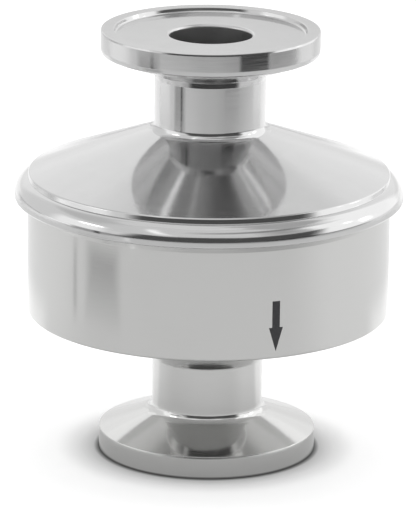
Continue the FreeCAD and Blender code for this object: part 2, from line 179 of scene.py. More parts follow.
def made(name, mesh, tree, **sizes):
    """Run a node tree on a mesh with its named inputs set, and keep the result as a plain mesh."""
    piece = bpy.data.objects.new(name, mesh)
    bpy.context.scene.collection.objects.link(piece)
    maker = piece.modifiers.new("maker", "NODES")
    maker.node_group = tree
    for item in tree.interface.items_tree:
        if item.name in sizes:
            maker[item.identifier] = sizes[item.name]
    result = bpy.data.meshes.new_from_object(piece.evaluated_get(bpy.context.evaluated_depsgraph_get()))
    piece.modifiers.clear()
    piece.data = result
    return piece


def turned(name, corners, material, segments=256, **sizes):
    """A piece turned from its section, given as (radius, height, round) corners in mm."""
    mesh = bpy.data.meshes.new(f"{name}_section")
    outline = section(corners)
    mesh.from_pydata([(radius * MM, 0, height * MM) for radius, height, depth in outline], [], [])
    cuts = mesh.attributes.new("cut", "FLOAT", "POINT")
    cuts.data.foreach_set("value", [depth * MM for *_, depth in outline])
    shape = {"Segments": segments, "Crease": CREASE, "Pitch": 1.0, "Flats": 6, "Half Across Flats": 1.0}
    return made(name, mesh, LATHE, Material=material, **{**shape, **sizes})


def colour(code):
    """Linear colour of an sRGB hex code."""
    parts = [int(code[start:start + 2], 16) / 255 for start in (0, 2, 4)]
    return [part / 12.92 if part <= 0.04045 else ((part + 0.055) / 1.055) ** 2.4 for part in parts] + [1.0]


def ground_stainless():
    """316L turned and then ground round the axis with a fine belt: a soft, slightly streaked grey shine."""
    material = bpy.data.materials.new("ground_stainless")
    material.use_nodes = True
    tree = material.node_tree
    tree.nodes.clear()
    place = add(tree, "ShaderNodeTexCoord").outputs["Object"]
    lines = add(tree, "ShaderNodeMapping", {"Vector": place, "Scale": (0.35 / MM, 0.35 / MM, 9 / MM)})
    grain = add(tree, "ShaderNodeTexNoise", {"Vector": lines.outputs[0], "Scale": 1.0, "Detail": 4.0})
    haze = add(tree, "ShaderNodeTexNoise", {"Vector": place, "Scale": 0.12 / MM, "Detail": 3.0})
    both = add(tree, "ShaderNodeMath", {0: grain.outputs[0], 1: haze.outputs[0]}, operation="ADD")
    rough = add(tree, "ShaderNodeMapRange", {"Value": both.outputs[0], "From Min": 0.6, "From Max": 1.4,
                                             "To Min": 0.08, "To Max": 0.13})
    tint = add(tree, "ShaderNodeMix",
               {"Factor": both.outputs[0], "A": colour("C4C4C3"), "B": colour("CACAC9")}, data_type="RGBA")
    relief = add(tree, "ShaderNodeBump",
                 {"Height": grain.outputs[0], "Distance": 0.0012 * MM, "Strength": 1.0})
    around = add(tree, "ShaderNodeTangent", direction_type="RADIAL", axis="Z")
    shader = add(tree, "ShaderNodeBsdfPrincipled", {
        "Base Color": tint.outputs["Result"], "Metallic": 1.0, "Roughness": rough.outputs[0],
        "Anisotropic": 0.4, "Normal": relief.outputs[0], "Tangent": around.outputs[0]})
    add(tree, "ShaderNodeOutputMaterial", {"Surface": shader.outputs[0]})
    return material


GROUND_STAINLESS = ground_stainless()
BORE = 4.7
NECK = 6.35
RIM = 2.6
LIP = 1.5
RECESS = 0.55
WALL = 0.14
WORN_IN = 0.04
WORN_LONG = 0.24
BACK_SLOPE = math.radians(20)
FOOT = 1.25


def ferrule(face, weld, flange, back):
    """Section corners of a clamp ferrule from its face to its weld end, the ones behind its rim being given.

    Polishing wears the rim's edges over, so each has a short lean before its small round.
    """
    way = 1 if weld > face else -1
    return [
        (BORE, face + way * RECESS, 0.35),
        (flange - LIP - WALL, face + way * RECESS, 0.25),
        (flange - LIP, face, 0.1),
        (flange - WORN_IN, face, 0.1),
        (flange, face + way * WORN_LONG, 0.1),
        *[(radius, face + way * height, edge) for radius, height, edge in back],
        (NECK, weld, 0),
        (BORE, weld, 0),
    ]


outlet_low, outlet_high = (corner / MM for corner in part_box("outlet_ferrule"))
root = RIM + (outlet_high.x - NECK) * math.tan(BACK_SLOPE)
outlet_ferrule = turned("outlet_ferrule_turned", ferrule(outlet_low.z, outlet_high.z, outlet_high.x, [
    (outlet_high.x, RIM - WORN_LONG, 0.1),
    (outlet_high.x - WORN_IN, RIM, 0.1),
    (NECK, root, FOOT),
]), GROUND_STAINLESS)
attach(outlet_ferrule, "root")
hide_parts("outlet_ferrule")

# Cup. The lower half of the body, turned from 316L bar: a straight shell, an underside that
# slopes to the neck, and inside it a floor that drains to the seat, a gasket ledge and the
# female thread. Its outside is ground round the axis and left satin.

cup_low, cup_high = (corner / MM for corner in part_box("lower_body"))
chamber_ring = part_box("body_gasket")
ledge = chamber_ring[0].z / MM
hub_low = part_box("element_support")[0] / MM
shank_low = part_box("valve_seat")[0].z / MM
UNDERSIDE_SLOPE = math.radians(16.3)
THREAD = 19.0
THREAD_PITCH = 1.5
THREAD_DEPTH = 0.75
CHAMBER = 17.2
SPOT = 7.9
SEAT_HOLE = 5.05
SEAT_PITCH = 1.0
SEAT_DEPTH = 0.45
CUP_FLARE = 0.56
EASED_LONG = 0.85
EASED_IN = 0.05
UNDERSIDE_RISE = 1.8
FLARE_LONG = 1.33
THREAD_LEAD = 0.4
SHANK_ROOM = 0.2
THREAD_POINTS = 10
RUN_OUT = 5


def thread(radius, start, stop, pitch, depth):
    """Section corners along a thread that runs out over half a turn at both ends."""
    steps = round(abs(stop - start) / pitch * THREAD_POINTS)
    return [(radius, start + (stop - start) * step / steps, 0,
             depth * min(1, step / RUN_OUT, (steps - step) / RUN_OUT)) for step in range(steps + 1)]


thread_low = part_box("upper_body")[0].z / MM + THREAD_LEAD
thread_high = cup_high.z - THREAD_LEAD
floor_foot = cup_low.z + UNDERSIDE_RISE
flare_foot = floor_foot - FLARE_LONG
edge_height = floor_foot + (cup_high.x - NECK) * math.tan(UNDERSIDE_SLOPE)
cup = turned("lower_body_turned", [
    (BORE, cup_low.z, 0),
    (NECK, cup_low.z, 0),
    (NECK, flare_foot, 0.5),
    (NECK + CUP_FLARE, floor_foot + CUP_FLARE * math.tan(UNDERSIDE_SLOPE), 0.4),
    (cup_high.x, edge_height, 0.35),
    (cup_high.x, cup_high.z - EASED_LONG, 0.5),
    (cup_high.x - EASED_IN, cup_high.z, 0.1),
    (THREAD, cup_high.z, 0.1),
    *thread(THREAD, thread_high, thread_low, THREAD_PITCH, THREAD_DEPTH),
    (THREAD, ledge, 0.1),
    (CHAMBER, ledge, 0.1),
    (CHAMBER, hub_low.z + (CHAMBER - SPOT) * math.tan(UNDERSIDE_SLOPE), 1.2),
    (SPOT, hub_low.z, 0.1),
    (SEAT_HOLE, hub_low.z, 0.1),
    (SEAT_HOLE, shank_low - SHANK_ROOM, 0),
    (BORE, shank_low - SHANK_ROOM, 0.05),
], GROUND_STAINLESS, Pitch=THREAD_PITCH * MM)
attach(cup, "root")
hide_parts("lower_body")

# Gaskets. Flat rings punched from skived PTFE sheet: one squeezed between the cover's spigot and
# the ledge in the cup, and a washer under the seat. White, waxy, faintly streaked by the knife.


def skived_ptfe():
    """PTFE peeled off a billet by a knife: a soft waxy white with faint parallel streaks."""
    material = bpy.data.materials.new("skived_ptfe")
    material.use_nodes = True
    tree = material.node_tree
    tree.nodes.clear()
    place = add(tree, "ShaderNodeTexCoord").outputs["Object"]
    lines = add(tree, "ShaderNodeMapping", {"Vector": place, "Scale": (0.15 / MM, 5 / MM, 0.15 / MM)})
    streaks = add(tree, "ShaderNodeTexNoise", {"Vector": lines.outputs[0], "Scale": 1.0, "Detail": 3.0})
    tint = add(tree, "ShaderNodeMix",
               {"Factor": streaks.outputs[0], "A": colour("E4E4DF"), "B": colour("EDEDE9")}, data_type="RGBA")
    rough = add(tree, "ShaderNodeMapRange", {"Value": streaks.outputs[0], "To Min": 0.38, "To Max": 0.5})
    relief = add(tree, "ShaderNodeBump",
                 {"Height": streaks.outputs[0], "Distance": 0.004 * MM, "Strength": 1.0})
    shader = add(tree, "ShaderNodeBsdfPrincipled", {
        "Base Color": tint.outputs["Result"], "Roughness": rough.outputs[0], "Normal": relief.outputs[0],
        "IOR": 1.35, "Subsurface Weight": 0.1, "Subsurface Scale": 0.5 * MM})
    add(tree, "ShaderNodeOutputMaterial", {"Surface": shader.outputs[0]})
    return material


SKIVED_PTFE = skived_ptfe()
GASKET_EDGE = 0.12

washer_low, washer_high = (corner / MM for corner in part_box("seat_gasket"))
washer = turned("seat_gasket_cut", [
    (SEAT_HOLE, washer_low.z, GASKET_EDGE),
    (washer_high.x, washer_low.z, GASKET_EDGE),
    (washer_high.x, washer_high.z, GASKET_EDGE),
    (SEAT_HOLE, washer_high.z, GASKET_EDGE),
], SKIVED_PTFE, segments=128)
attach(washer, "root")
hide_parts("seat_gasket")

ring_low, ring_high = (corner / MM for corner in chamber_ring)
ring = turned("body_gasket_cut", [
    (CHAMBER, ring_low.z, GASKET_EDGE),
    (ring_high.y, ring_low.z, GASKET_EDGE),
    (ring_high.y, ring_high.z, GASKET_EDGE),
    (CHAMBER, ring_high.z, GASKET_EDGE),
], SKIVED_PTFE)
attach(ring, "root")
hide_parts("body_gasket")

# Valve seat. Turned from hexagon bar of hardening stainless steel and screwed into the floor of
# the cup: a threaded shank, a round shoulder on the washer, spanner flats, and a lapped seat.


def worked_steel(name, grain, shine, tints, relief, anisotropy):
    """Stainless steel with the marks of its working, which give the eye a grain and a cloudy shine.

    The marks have their scale per mm on each axis as grain, and their depth in mm as relief.
    """
    material = bpy.data.materials.new(name)
    material.use_nodes = True
    tree = material.node_tree
    tree.nodes.clear()
    place = add(tree, "ShaderNodeTexCoord").outputs["Object"]
    stretched = add(tree, "ShaderNodeMapping", {"Vector": place, "Scale": [scale / MM for scale in grain]})
    marks = add(tree, "ShaderNodeTexNoise", {"Vector": stretched.outputs[0], "Scale": 1.0, "Detail": 4.0})
    cloud = add(tree, "ShaderNodeTexNoise", {"Vector": place, "Scale": 0.25 / MM, "Detail": 2.0})
    both = add(tree, "ShaderNodeMath", {0: marks.outputs[0], 1: cloud.outputs[0]}, operation="ADD")
    rough = add(tree, "ShaderNodeMapRange", {"Value": both.outputs[0], "From Min": 0.6, "From Max": 1.4,
                                             "To Min": shine[0], "To Max": shine[1]})
    tint = add(tree, "ShaderNodeMix",
               {"Factor": cloud.outputs[0], "A": colour(tints[0]), "B": colour(tints[1])}, data_type="RGBA")
    bump = add(tree, "ShaderNodeBump", {"Height": marks.outputs[0], "Distance": relief * MM, "Strength": 1.0})
    around = add(tree, "ShaderNodeTangent", direction_type="RADIAL", axis="Z")
    shader = add(tree, "ShaderNodeBsdfPrincipled", {
        "Base Color": tint.outputs["Result"], "Metallic": 1.0, "Roughness": rough.outputs[0],
        "Anisotropic": anisotropy, "Normal": bump.outputs[0], "Tangent": around.outputs[0]})
    add(tree, "ShaderNodeOutputMaterial", {"Surface": shader.outputs[0]})
    return material


# Fine turning leaves rings as close as the tool's feed, which smear a highlight across them
TURNED_BAR = worked_steel("turned_bar", (0.3, 0.3, 14), (0.2, 0.3), ("BDBDBD", "C6C6C5"), 0.0015, 0.6)
seat_low, seat_high = (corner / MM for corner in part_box("valve_seat"))
SHANK = 5.0
SEAT_STEP = 6.4
HALF_FLATS = 6.5
HEX_HIGH = 1.6
NOSE_HIGH = 0.8
ORIFICE = 1.6
SEAT_RIM = 2.6
NOSE = 3.6
OUTLET = 3.2
OUTLET_DEEP = 1.6
SHANK_LEAD = 0.4
SHANK_RELIEF = 0.3
hex_top = seat_high.z - NOSE_HIGH
hex_low = hex_top - HEX_HIGH
hex_corner = HALF_FLATS / math.cos(math.pi / 6)
seat = turned("valve_seat_turned", [
    (OUTLET, seat_low.z, 0.1),
    (SHANK, seat_low.z, 0.35),
    *thread(SHANK, seat_low.z + SHANK_LEAD, washer_high.z - SHANK_RELIEF, SEAT_PITCH, SEAT_DEPTH),
    (SHANK, washer_high.z, 0.05),
    (SEAT_STEP, washer_high.z, 0.1),
    (SEAT_STEP, hex_low, 0.05),
    (hex_corner, hex_low, 0),
    (hex_corner, hex_top, 0.9),
    (NOSE, hex_top, 0.2),
    (NOSE, seat_high.z, 0.15),
    (SEAT_RIM, seat_high.z, 0.04),
    (ORIFICE, seat_high.z - (SEAT_RIM - ORIFICE), 0.04),
    (ORIFICE, seat_low.z + OUTLET_DEEP, 0.1),
    (OUTLET, seat_low.z + OUTLET_DEEP, 0.3),
], TURNED_BAR, segments=192, Pitch=SEAT_PITCH * MM, **{"Half Across Flats": HALF_FLATS * MM})
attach(seat, "root")
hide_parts("valve_seat")

# Element support. Machined from bar, with four arms milled free: the seat's hexagon holds down its
# hub, and a step in each arm carries and centres the capsule. Every edge is eased by hand.

SAME_FACE = math.radians(1)
SHARP_EDGE = math.radians(25)
EASED_CREASE = math.radians(28)
BEVEL_TOUCH = 1e-7


def eased(name, width, material):
    """A CAD piece with its doubles merged and its sharp edges eased by a narrow bevel, width in mm."""
    body = bmesh.new()
    body.from_mesh(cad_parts[name].data)
    bmesh.ops.remove_doubles(body, verts=body.verts, dist=TOUCH)
    bmesh.ops.dissolve_limit(body, angle_limit=SAME_FACE, verts=body.verts, edges=body.edges)
    sharp = [edge for edge in body.edges if edge.is_manifold and edge.calc_face_angle() > SHARP_EDGE]
    bmesh.ops.bevel(body, geom=sharp, offset=width * MM, segments=2, profile=0.5, affect="EDGES",
                    clamp_overlap=True)
    bmesh.ops.remove_doubles(body, verts=body.verts, dist=BEVEL_TOUCH)
    bmesh.ops.triangulate(body, faces=[face for face in body.faces if len(face.verts) > 4])
    for face in body.faces:
        face.smooth = True
    for edge in body.edges:
        edge.smooth = not (edge.is_manifold and edge.calc_face_angle() > EASED_CREASE)
    mesh = bpy.data.meshes.new(f"{name}_eased")
    body.to_mesh(mesh)
    body.free()
    mesh.materials.append(material)
    piece = bpy.data.objects.new(f"{name}_eased", mesh)
    bpy.context.scene.collection.objects.link(piece)
    return piece


# Milling leaves short overlapping sweeps: a grey, slightly cloudy shine
MILLED_BAR = worked_steel("milled_bar", (2.5, 2.5, 2.5), (0.24, 0.34), ("B8B8B8", "C2C2C1"), 0.002, 0.0)
support = eased("element_support", 0.2, MILLED_BAR)
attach(support, "root")
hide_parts("element_support")

# Capsule base. The lower shell of the sealed element, pressed from bright annealed sheet: a dish
# with a rim for the weld, a guide hole for the stem and six vents to the chamber.

# Pressed sheet keeps its mill brightness, drawn out a little over the bends
PRESSED_SHEET = worked_steel("pressed_bright_sheet", (0.5, 4, 0.5), (0.14, 0.24), ("C2C2C4", "CACACB"),
                             0.001, 0.2)
base = eased("capsule_base", 0.12, PRESSED_SHEET)
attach(base, "root")
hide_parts("capsule_base")

# Valve head. A ground and lapped ball of hardened stainless steel, with a flat and a blind hole
# for the stem. It closes on the chamfer of the seat.

# Lapping leaves a mirror with no grain
LAPPED_BALL = worked_steel("lapped_ball", (3, 3, 3), (0.03, 0.06), ("C6C6C8", "CBCBCC"), 0.0001, 0.0)
BALL = 3.0
BALL_STEPS = 40
STEM_HOLE = 1.04
HOLE_DEEP = 1.44
head_low, head_high = (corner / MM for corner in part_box("valve_head"))
ball_middle = head_low.z + BALL
flat_turn = math.acos((ball_middle - head_high.z) / BALL)
ball_turns = [flat_turn * step / BALL_STEPS for step in range(BALL_STEPS + 1)]
ball = [(BALL * math.sin(turn), ball_middle - BALL * math.cos(turn), 0) for turn in ball_turns]
head = turned("valve_head_lapped", [
    *ball,
    (STEM_HOLE, head_high.z, 0.08),
    (STEM_HOLE, head_high.z - HOLE_DEEP, 0.1),
    (0, head_high.z - HOLE_DEEP, 0),
], LAPPED_BALL, segments=128)
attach(head, "valve")
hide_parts("valve_head")

# Valve stem. Turned in one with its flange, pressed into the ball below, and riveted over the
# thrust disc above, with the diaphragm clamped between.

stem_low, stem_high = (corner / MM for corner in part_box("valve_stem"))
disc_low, disc_high = (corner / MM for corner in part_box("thrust_disc"))
sheet_low, sheet_high = (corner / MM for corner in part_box("diaphragm"))
STEM = 1.25
SPIGOT_PIN = 1.0
FLANGE_THICK = 0.6
stem = turned("valve_stem_turned", [
    (0, stem_low.z, 0),
    (SPIGOT_PIN, stem_low.z, 0.15),
    (SPIGOT_PIN, head_high.z, 0),
    (STEM, head_high.z, 0.1),
    (STEM, sheet_low.z - FLANGE_THICK, 0.2),
    (stem_high.x, sheet_low.z - FLANGE_THICK, 0.15),
    (stem_high.x, sheet_low.z, 0.1),
    (SPIGOT_PIN, sheet_low.z, 0),
    (SPIGOT_PIN, stem_high.z, 0.12),
    (0, stem_high.z, 0),
], TURNED_BAR, segments=96)
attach(stem, "valve")
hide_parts("valve_stem")

# Diaphragm. Three foils of nickel alloy, rolled and pressed into rings together, clamped at the
# rim between the shells. It is made in sectors.

# Rolling leaves hair-fine parallel lines on a slightly warm, bright foil
ROLLED_FOIL = worked_steel("rolled_nickel_foil", (0.3, 8, 8), (0.12, 0.2), ("B9B6AE", "C4C1BA"), 0.0008, 0.0)
FOILS = 3
FOIL_GAP = 0.02
RIPPLES = 2
RIPPLE_IN = 4.4
RIPPLE_OUT = 10.8
RIPPLE_HIGH = 0.45
PLY = 0.4
SECTORS = 12
SECTOR_COLUMNS = 8
RING_STEPS = 64
FOIL_CREASE = math.radians(40)
foil_thick = (PLY - FOIL_GAP * (FOILS - 1)) / FOILS


def foil_height(radius):
    """Height of the pressed rings above the flat of the foil."""
    share = min(1.0, max(0.0, (radius - RIPPLE_IN) / (RIPPLE_OUT - RIPPLE_IN)))
    return RIPPLE_HIGH * (1 - math.cos(math.tau * RIPPLES * share)) / 2


for sector in range(SECTORS):
    body = bmesh.new()
    for foil in range(FOILS):
        under = sheet_low.z + foil * (foil_thick + FOIL_GAP)
        radii = [STEM_HOLE + (sheet_high.x - STEM_HOLE) * step / RING_STEPS for step in range(RING_STEPS + 1)]
        loop = [(radius, under + foil_height(radius)) for radius in radii]
        loop += [(radius, under + foil_thick + foil_height(radius)) for radius in reversed(radii)]
        columns = []
        for column in range(SECTOR_COLUMNS + 1):
            turn = math.tau * (sector + column / SECTOR_COLUMNS) / SECTORS
            columns.append([
                body.verts.new((radius * math.cos(turn) * MM, radius * math.sin(turn) * MM, height * MM))
                for radius, height in loop])
        for left, right in zip(columns, columns[1:]):
            for first in range(len(loop)):
                after = (first + 1) % len(loop)
                body.faces.new((left[first], left[after], right[after], right[first]))
        for end in (columns[0], columns[-1]):
            for step in range(RING_STEPS):
                body.faces.new((end[step], end[step + 1], end[-2 - step], end[-1 - step]))
    bmesh.ops.recalc_face_normals(body, faces=body.faces)
    for face in body.faces:
        face.smooth = True
    for edge in body.edges:
        edge.smooth = not (edge.is_manifold and edge.calc_face_angle() > FOIL_CREASE)
    mesh = bpy.data.meshes.new(f"diaphragm_sector_{sector + 1}")
    body.to_mesh(mesh)
    body.free()
    mesh.materials.append(ROLLED_FOIL)
    piece = bpy.data.objects.new(f"diaphragm_sector_{sector + 1}", mesh)
    bpy.context.scene.collection.objects.link(piece)
    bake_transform(piece)
    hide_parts("diaphragm")

# Thrust disc and travel stop. A turned disc over the diaphragm, and the ring under the dome that
# it comes up against when the trap is cold.

disc = turned("thrust_disc_turned", [
    (STEM_HOLE, disc_low.z, 0.08),
    (disc_high.x, disc_low.z, 0.1),
    (disc_high.x, disc_high.z, 0.15),
    (STEM_HOLE, disc_high.z, 0.08),
], TURNED_BAR, segments=128)
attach(disc, "valve")
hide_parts("thrust_disc")

STOP_BORE = 2.0
stop_low, stop_high = (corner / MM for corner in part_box("travel_stop"))
stop = turned("travel_stop_turned", [
    (STOP_BORE, stop_low.z, 0.12),
    (stop_high.x, stop_low.z, 0.12),
    (stop_high.x, stop_high.z, 0.05),
    (STOP_BORE, stop_high.z, 0.05),
], TURNED_BAR, segments=128)
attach(stop, "root")
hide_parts("travel_stop")

# Capsule cover. The upper shell, pressed from the same sheet as the base and welded to it round
# the rim with the diaphragm between. Its bends are rounded by the press tool.

DISH_EDGE = 12.2
DISH_FLAT = 10.6
SHEET = 0.6
FILL_HOLE = 1.2
dome_low, dome_high = (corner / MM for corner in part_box("capsule_cover"))
dome = turned("capsule_cover_pressed", [
    (DISH_EDGE - SHEET / 2, dome_low.z, 0.3),
    (dome_high.x, dome_low.z, 0.03),
    (dome_high.x, dome_low.z + SHEET, 0.25),
    (DISH_EDGE, dome_low.z + SHEET, 0.3),
    (DISH_FLAT, dome_high.z, 0.9),
    (FILL_HOLE, dome_high.z, 0.05),
    (FILL_HOLE, dome_high.z - SHEET, 0.05),
    (DISH_FLAT - SHEET / 2, dome_high.z - SHEET, 0.4),
], PRESSED_SHEET)
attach(dome, "root")
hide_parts("capsule_cover")

# Fill plug. A small headed pin, resistance-welded into the filling hole once the capsule is
# charged, which seals it for good.

PIN = 1.16
plug_low, plug_high = (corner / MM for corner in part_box("fill_plug"))
plug = turned("fill_plug_turned", [
    (0, plug_low.z, 0),
    (PIN, plug_low.z, 0.15),
    (PIN, dome_high.z, 0),
    (plug_high.x, dome_high.z, 0.05),
    (plug_high.x, plug_high.z, 0.3),
    (0, plug_high.z, 0),
], TURNED_BAR, segments=96)
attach(plug, "root")
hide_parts("fill_plug")

# Element spring. Cut from cold rolled spring sheet and bent up in three arms, which bear on the
# shoulder inside the cover and hold the capsule down on its support.

# Cold rolling leaves straight parallel lines and a slightly blue, hard shine
SPRING_SHEET = worked_steel("cold_rolled_spring_sheet", (0.3, 9, 0.3), (0.16, 0.24), ("B4B7BC", "BEC1C5"),
                            0.001, 0.0)
spring = eased("element_spring", 0.1, SPRING_SHEET)
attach(spring, "root")
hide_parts("element_spring")

# Cover. The upper half of the body, turned from 316L bar and mechanically polished to a mirror:
# a cone that sheds water, a rolled bead over the joint, and a male spigot screwed into the cup.

DULL_END = BORE + 0.1
MIRROR_START = BORE + 0.3


def polished_stainless():
    """316L polished on a wheel: a mirror with a faint orange peel and hair-fine marks, dull in the bore."""
    material = bpy.data.materials.new("polished_stainless")
    material.use_nodes = True
    tree = material.node_tree
    tree.nodes.clear()
    place = add(tree, "ShaderNodeTexCoord").outputs["Object"]
    peel = add(tree, "ShaderNodeTexNoise", {"Vector": place, "Scale": 0.45 / MM, "Detail": 2.0})
    lines = add(tree, "ShaderNodeMapping", {"Vector": place, "Scale": (0.25 / MM, 0.25 / MM, 6 / MM)})
    marks = add(tree, "ShaderNodeTexNoise", {"Vector": lines.outputs[0], "Scale": 1.0, "Detail": 3.0})
    shine = add(tree, "ShaderNodeMapRange", {"Value": marks.outputs[0], "From Min": 0.3, "From Max": 0.7,
                                             "To Min": 0.08, "To Max": 0.13})
    across = add(tree, "ShaderNodeVectorMath", {0: place, 1: (1, 1, 0)}, operation="MULTIPLY")
    out = add(tree, "ShaderNodeVectorMath", {0: across.outputs[0]}, operation="LENGTH")
    bored = add(tree, "ShaderNodeMapRange", {"Value": out.outputs["Value"], "From Min": DULL_END * MM,
                                             "From Max": MIRROR_START * MM, "To Min": 0.3, "To Max": 0.0})
    rough = add(tree, "ShaderNodeMath", {0: shine.outputs[0], 1: bored.outputs[0]}, operation="MAXIMUM")
    tint = add(tree, "ShaderNodeMix",
               {"Factor": peel.outputs[0], "A": colour("C3C3C3"), "B": colour("C8C8C8")}, data_type="RGBA")
    wave = add(tree, "ShaderNodeBump", {"Height": peel.outputs[0], "Distance": 0.003 * MM, "Strength": 1.0})
    fine = add(tree, "ShaderNodeBump", {"Height": marks.outputs[0], "Distance": 0.0003 * MM, "Strength": 1.0,
                                        "Normal": wave.outputs[0]})
    shader = add(tree, "ShaderNodeBsdfPrincipled", {
        "Base Color": tint.outputs["Result"], "Metallic": 1.0, "Roughness": rough.outputs[0],
        "Normal": fine.outputs[0]})
    add(tree, "ShaderNodeOutputMaterial", {"Surface": shader.outputs[0]})
    return material


POLISHED_STAINLESS = polished_stainless()
cover_low, cover_high = (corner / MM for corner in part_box("upper_body"))
COVER_SLOPE = math.radians(20.5)
COVER_EDGE = 20.66
STEP_FOOT = 20.78
BEAD_HIGH = 2.48
STEP_HIGH = 3.07
BEAD_SHOULDER = 31.98
NECK_LONG = 1.1
COVER_WALL = 2.6
SHOULDER_IN = 15.2
THREAD_ROOM = 0.1
bead_top = cup_high.z + BEAD_HIGH
step_top = cup_high.z + STEP_HIGH
cone_top = cover_high.z - NECK_LONG
spigot = THREAD - THREAD_ROOM
inner_line = cone_top - COVER_WALL / math.cos(COVER_SLOPE)
shoulder = inner_line - (SHOULDER_IN - NECK) * math.tan(COVER_SLOPE)
cover = turned("upper_body_turned", [
    (BORE, cover_high.z, 0),
    (BORE, inner_line + (NECK - BORE) * math.tan(COVER_SLOPE), 0.6),
    (SHOULDER_IN, shoulder, 0.15),
    (CHAMBER, shoulder, 0.15),
    (CHAMBER, cover_low.z, 0.1),
    (spigot, cover_low.z, 0.1),
    *thread(spigot, thread_low, thread_high, THREAD_PITCH, THREAD_DEPTH),
    (spigot, cup_high.z, 0),
    (cover_high.x, cup_high.z, 0.3),
    (cover_high.x, BEAD_SHOULDER, 1.9),
    (STEP_FOOT, bead_top, 0.05),
    (COVER_EDGE, step_top, 0.22),
    (NECK, cone_top, 1.1),
    (NECK, cover_high.z, 0),
], POLISHED_STAINLESS, Pitch=THREAD_PITCH * MM)
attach(cover, "root")
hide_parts("upper_body")

# Inlet ferrule. The same clamp ferrule as the outlet's, turned over, butt-welded to the cover's
# neck and polished with it to a mirror.

inlet_low, inlet_high = (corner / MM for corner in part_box("inlet_ferrule"))
FLARE = 0.215
FLARE_END = 5.45
BUFFED_LONG = 0.5
BUFFED_IN = 0.08
inlet_ferrule = turned("inlet_ferrule_turned", ferrule(inlet_high.z, inlet_low.z, inlet_high.x, [
    (inlet_high.x, RIM - BUFFED_LONG, 0.8),
    (inlet_high.x - BUFFED_IN, RIM, 0.25),
    (NECK + FLARE, root - FLARE * math.tan(BACK_SLOPE), 0.2),
    (NECK, FLARE_END, 0.1),
]), POLISHED_STAINLESS)
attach(inlet_ferrule, "root")
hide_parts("inlet_ferrule")

# Flow arrow. A laser anneals the steel along the arrow and leaves a thin dark oxide on the shell.
# It points down, from the inlet to the outlet, and it is drawn a hair's breadth proud of the shell.


def laser_oxide():
    """Stainless annealed by a laser: a dull charcoal film with a faint speckle from the pulses."""
    material = bpy.data.materials.new("laser_oxide")
    material.use_nodes = True
    tree = material.node_tree
    tree.nodes.clear()
    place = add(tree, "ShaderNodeTexCoord").outputs["Object"]
    pulses = add(tree, "ShaderNodeTexNoise", {"Vector": place, "Scale": 6 / MM, "Detail": 2.0})
    tint = add(tree, "ShaderNodeMix",
               {"Factor": pulses.outputs[0], "A": colour("2E2E30"), "B": colour("4A4A4C")}, data_type="RGBA")
    shader = add(tree, "ShaderNodeBsdfPrincipled", {
        "Base Color": tint.outputs["Result"], "Metallic": 0.3, "Roughness": 0.55})
    add(tree, "ShaderNodeOutputMaterial", {"Surface": shader.outputs[0]})
    return material


ARROW_TURN = math.radians(21.5)
ARROW_TOP = 23.23
ARROW_LONG = 5.8
ARROW_HEAD = 2.75
SHAFT_HALF = 0.45
HEAD_HALF = 0.83
ARROW_LIFT = 0.015

arrow_mesh = bpy.data.meshes.new("flow_arrow")
rim = [(-SHAFT_HALF, 0), (-SHAFT_HALF, ARROW_HEAD - ARROW_LONG), (-HEAD_HALF, ARROW_HEAD - ARROW_LONG),
       (0, -ARROW_LONG), (HEAD_HALF, ARROW_HEAD - ARROW_LONG), (SHAFT_HALF, ARROW_HEAD - ARROW_LONG),
       (SHAFT_HALF, 0)]
points = []
for lift in (-ARROW_LIFT, ARROW_LIFT):
    for across, down in rim:
        turn = ARROW_TURN + across / cup_high.x
        out = cup_high.x + lift
        points.append((out * math.sin(turn) * MM, -out * math.cos(turn) * MM, (ARROW_TOP + down) * MM))
count = len(rim)
faces = [tuple(range(count - 1, -1, -1)), tuple(range(count, 2 * count))]
faces += [(i, (i + 1) % count, count + (i + 1) % count, count + i) for i in range(count)]
arrow_mesh.from_pydata(points, [], faces)
arrow = bpy.data.objects.new("flow_arrow", arrow_mesh)
bpy.context.scene.collection.objects.link(arrow)
arrow.data.materials.append(laser_oxide())
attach(arrow, "root")

# Studio. A white table and backdrop with soft lamps. The polished steel also mirrors what stands
# round the table out of the picture: the unlit room behind the camera, and cards, dark and bright,
# that give the metal its edges and streaks. Only mirrored rays see the cards.

FLOOR_REACH = 3.0
TABLE_WHITE = 0.74
TABLE_GLOW = 0.48
# Painted contact shadow: a thin ring of the table's colour, darkened to 0.2 at the flange's foot
PAINTED_SHADOW_INNER = 12.45 * MM
PAINTED_SHADOW_OUTER = 13.1 * MM
PAINTED_SHADOW_DARK = 0.2
# Painted shadow ring: the table's camera-only glow fades out towards the flange's foot
PAINTED_SHADOW_RING_START = 12.8 * MM
PAINTED_SHADOW_RING_END = 17.5 * MM
PAINTED_SHADOW_RING_BEND = 0.7
TABLE_NEAR = 120 * MM
TABLE_MIDDLE = 165 * MM
TABLE_FAR = 210 * MM
TABLE_END = 260 * MM
DIM_NEAR = 0.14
DIM_MIDDLE = 0.24
DIM_END = 0.40
CLOSE_END = 40 * MM
GAIN_START = 86 * MM
GAIN_END = 64 * MM
DIM_FLANKS = -0.25
# Shares by compass, from 0 behind the trap round to 1, with its front at 0.5
CLOSE_ARC = [(0.2, 0.0), (0.33, 1.0), (0.62, 1.0), (0.72, 0.0)]
BEYOND_ARC = [(0.375, 0.0), (0.5, 0.5), (0.6, 1.0), (0.68, 1.0), (0.82, 0.0)]
VERGE_ARC = [(0.2, 0.0), (0.36, 1.0), (0.62, 1.0), (0.86, 0.0)]
FLANKS_ARC = [(0.05, 0.0), (0.09, 1.0), (0.17, 1.0), (0.21, 0.0),
              (0.79, 0.0), (0.83, 1.0), (0.91, 1.0), (0.95, 0.0)]

